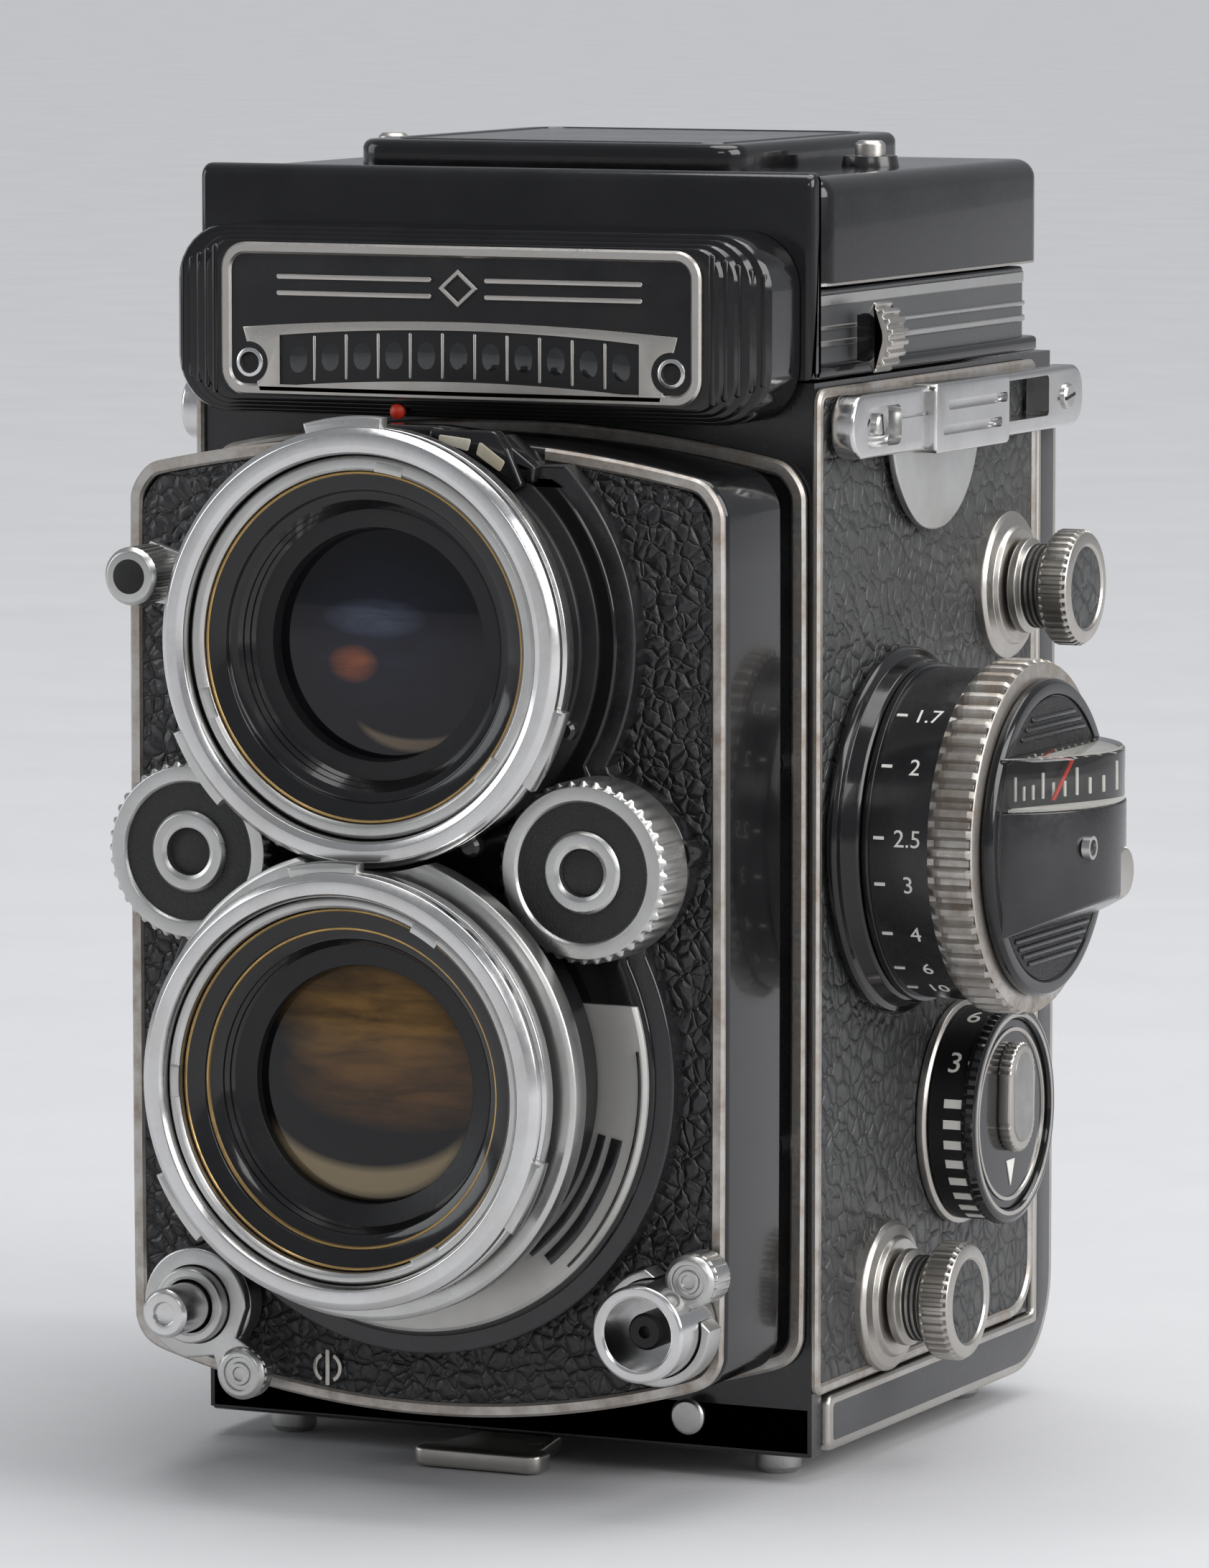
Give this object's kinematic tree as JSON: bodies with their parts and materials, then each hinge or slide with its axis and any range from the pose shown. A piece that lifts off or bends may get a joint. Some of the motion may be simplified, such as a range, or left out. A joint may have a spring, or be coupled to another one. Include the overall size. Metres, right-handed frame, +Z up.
{
  "type": "twin lens reflex camera",
  "caption": "Medium-format twin lens reflex camera with sliding lens standard, focus knob, folding waist-level hood, film crank and hinged back.",
  "frame": {"origin": "middle of the overall box in X and Y, at the underside of the feet", "axes": "+Z up, -Y out of the lenses, +X to the focus knob side"},
  "size_m": [0.1094, 0.1106, 0.1461],
  "materials": {
    "black_enamel": "glossy black enamel",
    "leatherette": "black grained leatherette",
    "nickel": "satin nickel plate",
    "chrome_plate": "polished and satin chrome",
    "satin_black": "satin black paint",
    "grey_enamel": "satin grey black enamel",
    "lens_glass": "coated optical glass",
    "mirror_silver": "front silvered"
  },
  "bodies": {
    "camera_body": {"body_shell": "black_enamel", "front_trim": "nickel", "right_side_panel": "leatherette", "left_side_panel": "leatherette", "mirror": "mirror_silver", "focusing_screen": "lens_glass", "hood_base": "black_enamel", "meter_housing": "black_enamel", "meter_cell_window": "lens_glass", "film_gate": "satin_black", "right_strap_lug": "chrome_plate", "left_strap_lug": "chrome_plate", "case_stud": "chrome_plate", "focus_flange": "satin_black", "meter_head": "satin_black", "meter_window": "lens_glass", "crank_base": "nickel"},
    "lens_standard": {"standard_casting": "black_enamel", "standard_leatherette": "leatherette", "standard_rim": "nickel", "viewing_lens_barrel": "chrome_plate", "viewing_front_element": "lens_glass", "viewing_rear_element": "lens_glass", "shutter_case": "satin_black", "shutter_face_plate": "nickel", "taking_lens_barrel": "chrome_plate", "taking_front_element": "lens_glass", "taking_rear_element": "lens_glass", "release_socket": "chrome_plate", "flash_socket": "chrome_plate", "readout_window": "black_enamel"},
    "iris": {"iris_ring": "satin_black"},
    "aperture_dial": {"aperture_wheel": "chrome_plate"},
    "speed_dial": {"shutter_speed_wheel": "chrome_plate"},
    "release": {"release_button": "chrome_plate"},
    "release_lock": {"release_lock_lever": "chrome_plate"},
    "flash_lock": {"flash_lock_lever": "chrome_plate"},
    "sync": {"sync_lever": "chrome_plate"},
    "focus": {"focus_knob": "nickel"},
    "reminder": {"film_reminder_dial": "satin_black"},
    "upper_knob": {"upper_spool_knob": "nickel"},
    "lower_knob": {"lower_spool_knob": "nickel"},
    "crank": {"crank_arm": "nickel"},
    "crank_grip": {"crank_handle": "satin_black"},
    "takeup": {"takeup_spool": "satin_black"},
    "supply": {"supply_spool": "satin_black"},
    "upper_roller": {"upper_film_roller": "nickel"},
    "lower_roller": {"lower_film_roller": "nickel"},
    "back": {"back_door": "black_enamel", "pressure_plate": "satin_black", "tripod_bush": "chrome_plate"},
    "latch": {"latch_lever": "nickel"},
    "lid": {"hood_lid": "grey_enamel"},
    "back_leaf": {"hood_back_leaf": "satin_black"},
    "left_leaf": {"hood_left_leaf": "satin_black"},
    "right_leaf": {"hood_right_leaf": "satin_black"},
    "magnifier": {"magnifier_frame": "satin_black", "magnifier_lens": "lens_glass"},
    "right_catch": {"right_hood_catch": "nickel"},
    "left_catch": {"left_hood_catch": "nickel"}
  },
  "joints": [
    {"name": "focus_turn", "type": "hinge", "parent": "camera_body", "child": "focus", "pos_m": [0.03535, 0.00755, 0.0702], "axis": [1, 0, 0], "range_deg": [-112, 176]},
    {"name": "standard_slide", "type": "slide", "parent": "camera_body", "child": "lens_standard", "axis": [0, -1, 0], "range_m": [-0.0025, 0.0039]},
    {"name": "aperture_turn", "type": "hinge", "parent": "lens_standard", "child": "aperture_dial", "pos_m": [-0.03315, -0.04135, 0.0702], "axis": [0, 1, 0], "range_deg": [-70, 70]},
    {"name": "iris_turn", "type": "hinge", "parent": "lens_standard", "child": "iris", "pos_m": [-0.00965, -0.02685, 0.0467], "axis": [0, 1, 0], "range_deg": [-32, 32]},
    {"name": "speed_turn", "type": "hinge", "parent": "lens_standard", "child": "speed_dial", "pos_m": [0.01385, -0.04135, 0.0702], "axis": [0, 1, 0], "range_deg": [-135, 135]},
    {"name": "release_press", "type": "slide", "parent": "lens_standard", "child": "release", "axis": [0, 1, 0], "range_m": [0, 0.0035], "stiffness_N_per_m": 250, "springref_m": -0.001},
    {"name": "release_lock_swing", "type": "hinge", "parent": "lens_standard", "child": "release_lock", "pos_m": [-0.03515, -0.03835, 0.0197], "axis": [0, 1, 0], "range_deg": [0, 40]},
    {"name": "flash_lock_swing", "type": "hinge", "parent": "lens_standard", "child": "flash_lock", "pos_m": [0.02005, -0.03835, 0.0209], "axis": [0, 1, 0], "range_deg": [0, 40]},
    {"name": "sync_swing", "type": "hinge", "parent": "lens_standard", "child": "sync", "pos_m": [-0.00965, -0.04135, 0.0937], "axis": [0, 1, 0], "range_deg": [-12, 14]},
    {"name": "reminder_turn", "type": "hinge", "parent": "camera_body", "child": "reminder", "pos_m": [0.03135, 0.02645, 0.0363], "axis": [1, 0, 0], "continuous": true},
    {"name": "upper_knob_pull", "type": "slide", "parent": "camera_body", "child": "upper_knob", "axis": [1, 0, 0], "range_m": [0, 0.006], "stiffness_N_per_m": 120, "springref_m": -0.003},
    {"name": "lower_knob_pull", "type": "slide", "parent": "camera_body", "child": "lower_knob", "axis": [1, 0, 0], "range_m": [0, 0.006], "stiffness_N_per_m": 120, "springref_m": -0.003},
    {"name": "crank_turn", "type": "hinge", "parent": "camera_body", "child": "crank", "pos_m": [-0.05065, 0.02265, 0.0813], "axis": [1, 0, 0], "continuous": true},
    {"name": "crank_grip_fold", "type": "hinge", "parent": "crank", "child": "crank_grip", "pos_m": [-0.0529, -0.00215, 0.0813], "axis": [0, 0, 1], "range_deg": [0, 92]},
    {"name": "takeup_turn", "type": "hinge", "parent": "camera_body", "child": "takeup", "pos_m": [-0.00965, 0.03905, 0.095], "axis": [1, 0, 0], "continuous": true},
    {"name": "supply_turn", "type": "hinge", "parent": "camera_body", "child": "supply", "pos_m": [-0.00965, 0.00515, 0.0184], "axis": [1, 0, 0], "continuous": true},
    {"name": "upper_roller_turn", "type": "hinge", "parent": "camera_body", "child": "upper_roller", "pos_m": [-0.00965, 0.04665, 0.0813], "axis": [1, 0, 0], "continuous": true},
    {"name": "lower_roller_turn", "type": "hinge", "parent": "camera_body", "child": "lower_roller", "pos_m": [-0.00965, 0.04665, 0.0119], "axis": [1, 0, 0], "continuous": true},
    {"name": "back_open", "type": "hinge", "parent": "camera_body", "child": "back", "pos_m": [-0.00965, 0.05555, 0.1162], "axis": [1, 0, 0], "range_deg": [0, 110]},
    {"name": "latch_swing", "type": "hinge", "parent": "back", "child": "latch", "pos_m": [-0.00965, -0.00785, 0.0015], "axis": [1, 0, 0], "range_deg": [0, 80]},
    {"name": "lid_open", "type": "hinge", "parent": "camera_body", "child": "lid", "pos_m": [-0.00965, -0.01015, 0.1436], "axis": [1, 0, 0], "range_deg": [0, 90]},
    {"name": "back_leaf_rise", "type": "hinge", "parent": "camera_body", "child": "back_leaf", "pos_m": [-0.00965, 0.04865, 0.1345], "axis": [-1, 0, 0], "range_deg": [0, 90]},
    {"name": "left_leaf_rise", "type": "hinge", "parent": "camera_body", "child": "left_leaf", "pos_m": [-0.04415, 0.01665, 0.1317], "axis": [0, -1, 0], "range_deg": [0, 90]},
    {"name": "right_leaf_rise", "type": "hinge", "parent": "camera_body", "child": "right_leaf", "pos_m": [0.02485, 0.01665, 0.1317], "axis": [0, 1, 0], "range_deg": [0, 90]},
    {"name": "magnifier_swing", "type": "hinge", "parent": "lid", "child": "magnifier", "pos_m": [-0.00965, 0.01485, 0.1396], "axis": [1, 0, 0], "range_deg": [-90, 0]},
    {"name": "right_catch_turn", "type": "hinge", "parent": "camera_body", "child": "right_catch", "pos_m": [0.02795, -0.00135, 0.1253], "axis": [0, 1, 0], "range_deg": [0, 25], "stiffness_Nm_per_rad": 0.02, "springref_deg": -5.73},
    {"name": "left_catch_turn", "type": "hinge", "parent": "camera_body", "child": "left_catch", "pos_m": [-0.04725, -0.00135, 0.1253], "axis": [0, -1, 0], "range_deg": [0, 25], "stiffness_Nm_per_rad": 0.02, "springref_deg": -5.73}
  ],
  "couplings": [
    {"joint": "focus_turn", "follows": "standard_slide", "rad_per_m": 766.89},
    {"joint": "iris_turn", "follows": "aperture_turn", "ratio": -0.45},
    {"joint": "takeup_turn", "follows": "crank_turn", "ratio": 1},
    {"joint": "supply_turn", "follows": "crank_turn", "ratio": 1},
    {"joint": "upper_roller_turn", "follows": "crank_turn", "ratio": 3},
    {"joint": "lower_roller_turn", "follows": "crank_turn", "ratio": 3},
    {"joint": "back_leaf_rise", "follows": "lid_open", "ratio": 1},
    {"joint": "left_leaf_rise", "follows": "lid_open", "ratio": 1},
    {"joint": "right_leaf_rise", "follows": "lid_open", "ratio": 1},
    {"joint": "magnifier_swing", "follows": "lid_open", "ratio": -1}
  ]
}
